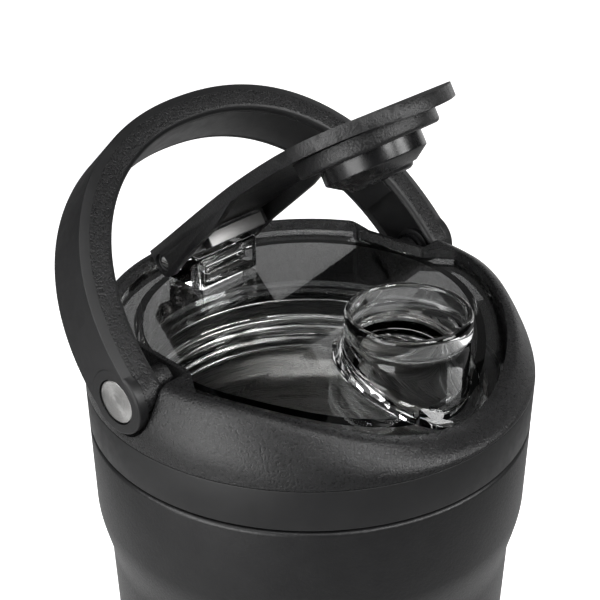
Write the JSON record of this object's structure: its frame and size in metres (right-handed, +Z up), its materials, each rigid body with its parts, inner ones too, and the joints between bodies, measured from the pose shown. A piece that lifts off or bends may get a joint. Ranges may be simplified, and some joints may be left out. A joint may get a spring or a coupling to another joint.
{
  "type": "insulated growler",
  "caption": "Double-walled bottle with a screw lid: clear window, pouring spout, flip-up stopper cap on a hinge, and a swinging carry handle.",
  "frame": {"origin": "middle of the base, on the surface that the bottle stands on", "axes": "+Z up along the bottle's axis, -Y towards the spout, +Y towards the cap's hinge, +X and -X through the handle's pivots"},
  "size_m": [0.1332, 0.13, 0.3071],
  "materials": {
    "powder_coat": "fine black powder coat",
    "steel": "spun stainless steel",
    "brushed_steel": "brushed",
    "textured_black": "fine grained moulding",
    "satin_black": "smooth soft-touch satin",
    "gloss_black": "gloss",
    "silicone": "matt silicone",
    "clear_plastic": "clear polished moulding"
  },
  "bodies": {
    "bottle": {"outer_shell": "powder_coat", "inner_liner": "steel", "base_disc": "brushed_steel", "base_pad": "silicone"},
    "lid_seal": {"lid_gasket": "silicone"},
    "lid": {"lid_collar": "textured_black", "lid_band": "satin_black", "clear_window": "clear_plastic", "lid_flange": "clear_plastic", "thread_skirt": "clear_plastic", "spout": "clear_plastic", "pivot_screw_left": "steel", "pivot_screw_right": "steel"},
    "handle": {"handle_bow": "textured_black", "handle_grip": "satin_black", "pivot_disc_left": "brushed_steel", "pivot_disc_right": "brushed_steel", "pivot_washer_left": "gloss_black", "pivot_washer_right": "gloss_black"},
    "cap": {"cap_arm": "textured_black", "stopper_carrier": "textured_black", "stopper_plug": "gloss_black", "detent_plate": "brushed_steel", "hinge_pin": "steel"}
  },
  "joints": [
    {"name": "lid_lift", "type": "slide", "parent": "bottle", "child": "lid_seal", "axis": [0, 0, 1], "range_m": [0, 0.008]},
    {"name": "lid_turn", "type": "hinge", "parent": "lid_seal", "child": "lid", "pos_m": [0, 0, 0.205], "axis": [0, 0, 1], "range_deg": [0, 720]},
    {"name": "handle_swing", "type": "hinge", "parent": "lid", "child": "handle", "pos_m": [0, 0.00751, 0.23134], "axis": [1, 0, 0], "range_deg": [0, 43]},
    {"name": "cap_flip", "type": "hinge", "parent": "lid", "child": "cap", "pos_m": [0, 0.0424, 0.2415], "axis": [1, 0, 0], "range_deg": [0, 32]}
  ],
  "couplings": [
    {"joint": "lid_lift", "follows": "lid_turn", "m_per_rad": 0.0006366}
  ]
}
